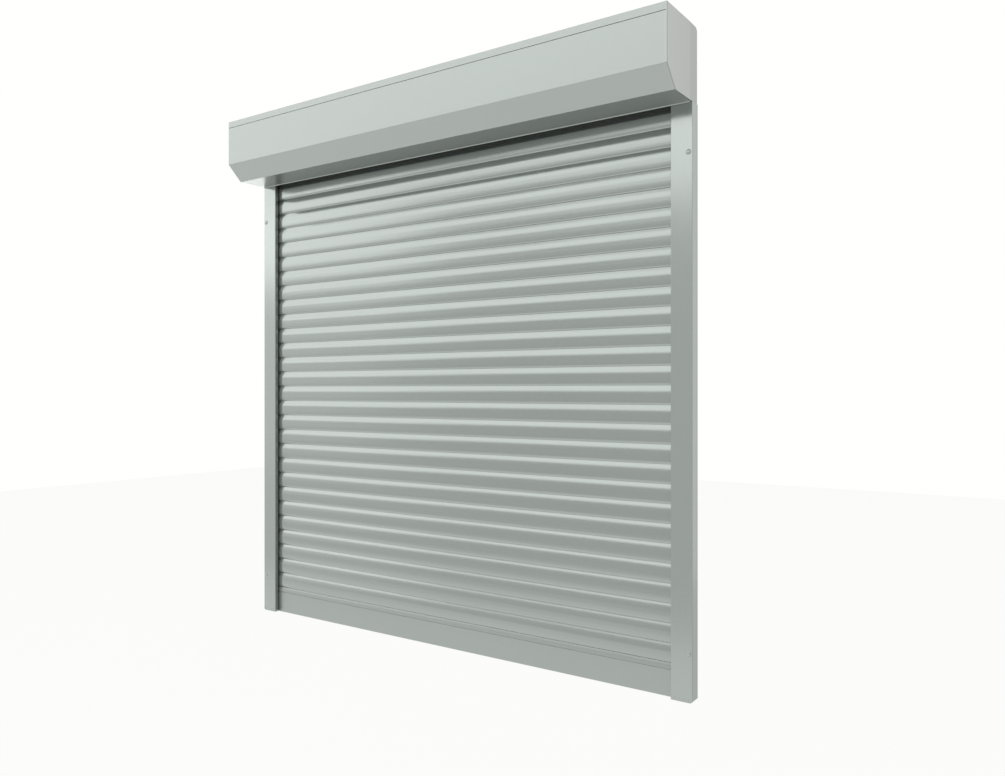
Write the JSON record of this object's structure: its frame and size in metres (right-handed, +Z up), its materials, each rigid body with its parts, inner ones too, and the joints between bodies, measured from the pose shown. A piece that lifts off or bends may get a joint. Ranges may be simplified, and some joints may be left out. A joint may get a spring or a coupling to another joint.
{
  "type": "exterior roller shutter",
  "caption": "Surface-mounted exterior roller shutter: box with sloping front edge, two guide rails, hollow slat curtain with end bar, tube roller and tubular motor.",
  "frame": {"origin": "under the middle of the shutter, level with the feet of the guide rails, halfway between the box front and the wall plane", "axes": "+Z up, +Y towards the wall, X along the width with the motor at +X"},
  "size_m": [1.24, 0.145, 1.307],
  "materials": {
    "slat_coating": "stove enamelled, semi-gloss silver grey",
    "bar_coating": "powder coated, semi-gloss silver grey",
    "box_coating": "stove enamelled, semi-gloss silver grey",
    "cap_coating": "powder coated die casting, semi-gloss silver grey",
    "rail_coating": "powder coated extrusion, semi-gloss silver grey",
    "grey_plastic": "moulded, coloured to match",
    "black_plastic": "moulded",
    "brush_pile": "pile",
    "black_rubber": "extruded",
    "zinc_steel": "galvanised",
    "bright_steel": "ground",
    "spring_steel": "blued spring steel",
    "motor_body": "drawn tube"
  },
  "bodies": {
    "frame": {"bearing_holder": "zinc_steel", "bearing_outer_ring": "bright_steel", "bracket_screws": "zinc_steel", "cable_grommet": "black_rubber", "cover_screws": "bright_steel", "end_cap_left": "cap_coating", "end_cap_right": "cap_coating", "guide_rail_left": "rail_coating", "guide_rail_right": "rail_coating", "hanger_straps": "spring_steel", "hood_back_shell": "box_coating", "hood_front_cover": "box_coating", "hood_screws": "bright_steel", "motor_bracket": "zinc_steel", "motor_head": "black_plastic", "motor_tube": "motor_body", "rail_feet": "grey_plastic", "rail_funnel_left": "black_plastic", "rail_funnel_right": "black_plastic", "rail_plugs": "grey_plastic", "rail_seals": "brush_pile"},
    "roller": {"roller_tube": "zinc_steel", "tube_end_plug": "black_plastic", "idler_pin": "bright_steel", "bearing_inner_ring": "bright_steel", "motor_crown": "black_plastic", "drive_wheel": "black_plastic", "strap_clips": "black_plastic"},
    "ball_cage": {"bearing_balls": "bright_steel"},
    "end_bar": {"end_slat": "bar_coating", "end_slat_seal": "black_rubber", "end_slat_caps": "grey_plastic"},
    "curtain_01": {"slat_01": "slat_coating"},
    "curtain_02": {"slat_02": "slat_coating"},
    "curtain_03": {"slat_03": "slat_coating"},
    "curtain_04": {"slat_04": "slat_coating"},
    "curtain_05": {"slat_05": "slat_coating"},
    "curtain_06": {"slat_06": "slat_coating"},
    "curtain_07": {"slat_07": "slat_coating"},
    "curtain_08": {"slat_08": "slat_coating"},
    "curtain_09": {"slat_09": "slat_coating"},
    "curtain_10": {"slat_10": "slat_coating"},
    "curtain_11": {"slat_11": "slat_coating"},
    "curtain_12": {"slat_12": "slat_coating"},
    "curtain_13": {"slat_13": "slat_coating"},
    "curtain_14": {"slat_14": "slat_coating"},
    "curtain_15": {"slat_15": "slat_coating"},
    "curtain_16": {"slat_16": "slat_coating"},
    "curtain_17": {"slat_17": "slat_coating"},
    "curtain_18": {"slat_18": "slat_coating"},
    "curtain_19": {"slat_19": "slat_coating"},
    "curtain_20": {"slat_20": "slat_coating"},
    "curtain_21": {"slat_21": "slat_coating"},
    "curtain_22": {"slat_22": "slat_coating"},
    "curtain_23": {"slat_23": "slat_coating"},
    "curtain_24": {"slat_24": "slat_coating"},
    "curtain_25": {"slat_25": "slat_coating"},
    "curtain_26": {"slat_26": "slat_coating"},
    "curtain_27": {"slat_27": "slat_coating"},
    "curtain_28": {"slat_28": "slat_coating"}
  },
  "joints": [
    {"name": "roller_turn", "type": "hinge", "parent": "frame", "child": "roller", "pos_m": [0, 0.003, 1.239], "axis": [1, 0, 0], "range_deg": [0, 142.6], "deforming": ["hanger_straps"]},
    {"name": "bar_lift", "type": "slide", "parent": "frame", "child": "end_bar", "axis": [0, 0, 1], "range_m": [0, 0.024]},
    {"name": "slat_lift_01", "type": "slide", "parent": "frame", "child": "curtain_01", "axis": [0, 0, 1], "range_m": [0, 0.026]},
    {"name": "slat_lift_02", "type": "slide", "parent": "frame", "child": "curtain_02", "axis": [0, 0, 1], "range_m": [0, 0.028]},
    {"name": "slat_lift_03", "type": "slide", "parent": "frame", "child": "curtain_03", "axis": [0, 0, 1], "range_m": [0, 0.03]},
    {"name": "slat_lift_04", "type": "slide", "parent": "frame", "child": "curtain_04", "axis": [0, 0, 1], "range_m": [0, 0.032]},
    {"name": "slat_lift_05", "type": "slide", "parent": "frame", "child": "curtain_05", "axis": [0, 0, 1], "range_m": [0, 0.034]},
    {"name": "slat_lift_06", "type": "slide", "parent": "frame", "child": "curtain_06", "axis": [0, 0, 1], "range_m": [0, 0.036]},
    {"name": "slat_lift_07", "type": "slide", "parent": "frame", "child": "curtain_07", "axis": [0, 0, 1], "range_m": [0, 0.038]},
    {"name": "slat_lift_08", "type": "slide", "parent": "frame", "child": "curtain_08", "axis": [0, 0, 1], "range_m": [0, 0.04]},
    {"name": "slat_lift_09", "type": "slide", "parent": "frame", "child": "curtain_09", "axis": [0, 0, 1], "range_m": [0, 0.042]},
    {"name": "slat_lift_10", "type": "slide", "parent": "frame", "child": "curtain_10", "axis": [0, 0, 1], "range_m": [0, 0.044]},
    {"name": "slat_lift_11", "type": "slide", "parent": "frame", "child": "curtain_11", "axis": [0, 0, 1], "range_m": [0, 0.046]},
    {"name": "slat_lift_12", "type": "slide", "parent": "frame", "child": "curtain_12", "axis": [0, 0, 1], "range_m": [0, 0.048]},
    {"name": "slat_lift_13", "type": "slide", "parent": "frame", "child": "curtain_13", "axis": [0, 0, 1], "range_m": [0, 0.05]},
    {"name": "slat_lift_14", "type": "slide", "parent": "frame", "child": "curtain_14", "axis": [0, 0, 1], "range_m": [0, 0.052]},
    {"name": "slat_lift_15", "type": "slide", "parent": "frame", "child": "curtain_15", "axis": [0, 0, 1], "range_m": [0, 0.054]},
    {"name": "slat_lift_16", "type": "slide", "parent": "frame", "child": "curtain_16", "axis": [0, 0, 1], "range_m": [0, 0.056]},
    {"name": "slat_lift_17", "type": "slide", "parent": "frame", "child": "curtain_17", "axis": [0, 0, 1], "range_m": [0, 0.058]},
    {"name": "slat_lift_18", "type": "slide", "parent": "frame", "child": "curtain_18", "axis": [0, 0, 1], "range_m": [0, 0.06]},
    {"name": "slat_lift_19", "type": "slide", "parent": "frame", "child": "curtain_19", "axis": [0, 0, 1], "range_m": [0, 0.062]},
    {"name": "slat_lift_20", "type": "slide", "parent": "frame", "child": "curtain_20", "axis": [0, 0, 1], "range_m": [0, 0.064]},
    {"name": "slat_lift_21", "type": "slide", "parent": "frame", "child": "curtain_21", "axis": [0, 0, 1], "range_m": [0, 0.066]},
    {"name": "slat_lift_22", "type": "slide", "parent": "frame", "child": "curtain_22", "axis": [0, 0, 1], "range_m": [0, 0.068]},
    {"name": "slat_lift_23", "type": "slide", "parent": "frame", "child": "curtain_23", "axis": [0, 0, 1], "range_m": [0, 0.07]},
    {"name": "slat_lift_24", "type": "slide", "parent": "frame", "child": "curtain_24", "axis": [0, 0, 1], "range_m": [0, 0.072]},
    {"name": "slat_lift_25", "type": "slide", "parent": "frame", "child": "curtain_25", "axis": [0, 0, 1], "range_m": [0, 0.074]},
    {"name": "slat_lift_26", "type": "slide", "parent": "frame", "child": "curtain_26", "axis": [0, 0, 1], "range_m": [0, 0.076]},
    {"name": "slat_lift_27", "type": "slide", "parent": "frame", "child": "curtain_27", "axis": [0, 0, 1], "range_m": [0, 0.078]},
    {"name": "slat_lift_28", "type": "slide", "parent": "frame", "child": "curtain_28", "axis": [0, 0, 1], "range_m": [0, 0.08]},
    {"name": "cage_turn", "type": "hinge", "parent": "frame", "child": "ball_cage", "pos_m": [-0.609, 0.003, 1.239], "axis": [1, 0, 0], "range_deg": [0, 57.76]}
  ],
  "couplings": [
    {"joint": "bar_lift", "follows": "roller_turn", "m_per_rad": 0.009643},
    {"joint": "slat_lift_01", "follows": "roller_turn", "m_per_rad": 0.010447},
    {"joint": "slat_lift_02", "follows": "roller_turn", "m_per_rad": 0.01125},
    {"joint": "slat_lift_03", "follows": "roller_turn", "m_per_rad": 0.012054},
    {"joint": "slat_lift_04", "follows": "roller_turn", "m_per_rad": 0.012857},
    {"joint": "slat_lift_05", "follows": "roller_turn", "m_per_rad": 0.013661},
    {"joint": "slat_lift_06", "follows": "roller_turn", "m_per_rad": 0.014464},
    {"joint": "slat_lift_07", "follows": "roller_turn", "m_per_rad": 0.015268},
    {"joint": "slat_lift_08", "follows": "roller_turn", "m_per_rad": 0.016072},
    {"joint": "slat_lift_09", "follows": "roller_turn", "m_per_rad": 0.016875},
    {"joint": "slat_lift_10", "follows": "roller_turn", "m_per_rad": 0.017679},
    {"joint": "slat_lift_11", "follows": "roller_turn", "m_per_rad": 0.018482},
    {"joint": "slat_lift_12", "follows": "roller_turn", "m_per_rad": 0.019286},
    {"joint": "slat_lift_13", "follows": "roller_turn", "m_per_rad": 0.02009},
    {"joint": "slat_lift_14", "follows": "roller_turn", "m_per_rad": 0.020893},
    {"joint": "slat_lift_15", "follows": "roller_turn", "m_per_rad": 0.021697},
    {"joint": "slat_lift_16", "follows": "roller_turn", "m_per_rad": 0.0225},
    {"joint": "slat_lift_17", "follows": "roller_turn", "m_per_rad": 0.023304},
    {"joint": "slat_lift_18", "follows": "roller_turn", "m_per_rad": 0.024108},
    {"joint": "slat_lift_19", "follows": "roller_turn", "m_per_rad": 0.024911},
    {"joint": "slat_lift_20", "follows": "roller_turn", "m_per_rad": 0.025715},
    {"joint": "slat_lift_21", "follows": "roller_turn", "m_per_rad": 0.026518},
    {"joint": "slat_lift_22", "follows": "roller_turn", "m_per_rad": 0.027322},
    {"joint": "slat_lift_23", "follows": "roller_turn", "m_per_rad": 0.028126},
    {"joint": "slat_lift_24", "follows": "roller_turn", "m_per_rad": 0.028929},
    {"joint": "slat_lift_25", "follows": "roller_turn", "m_per_rad": 0.029733},
    {"joint": "slat_lift_26", "follows": "roller_turn", "m_per_rad": 0.030536},
    {"joint": "slat_lift_27", "follows": "roller_turn", "m_per_rad": 0.03134},
    {"joint": "slat_lift_28", "follows": "roller_turn", "m_per_rad": 0.032143},
    {"joint": "cage_turn", "follows": "roller_turn", "ratio": 0.405}
  ]
}
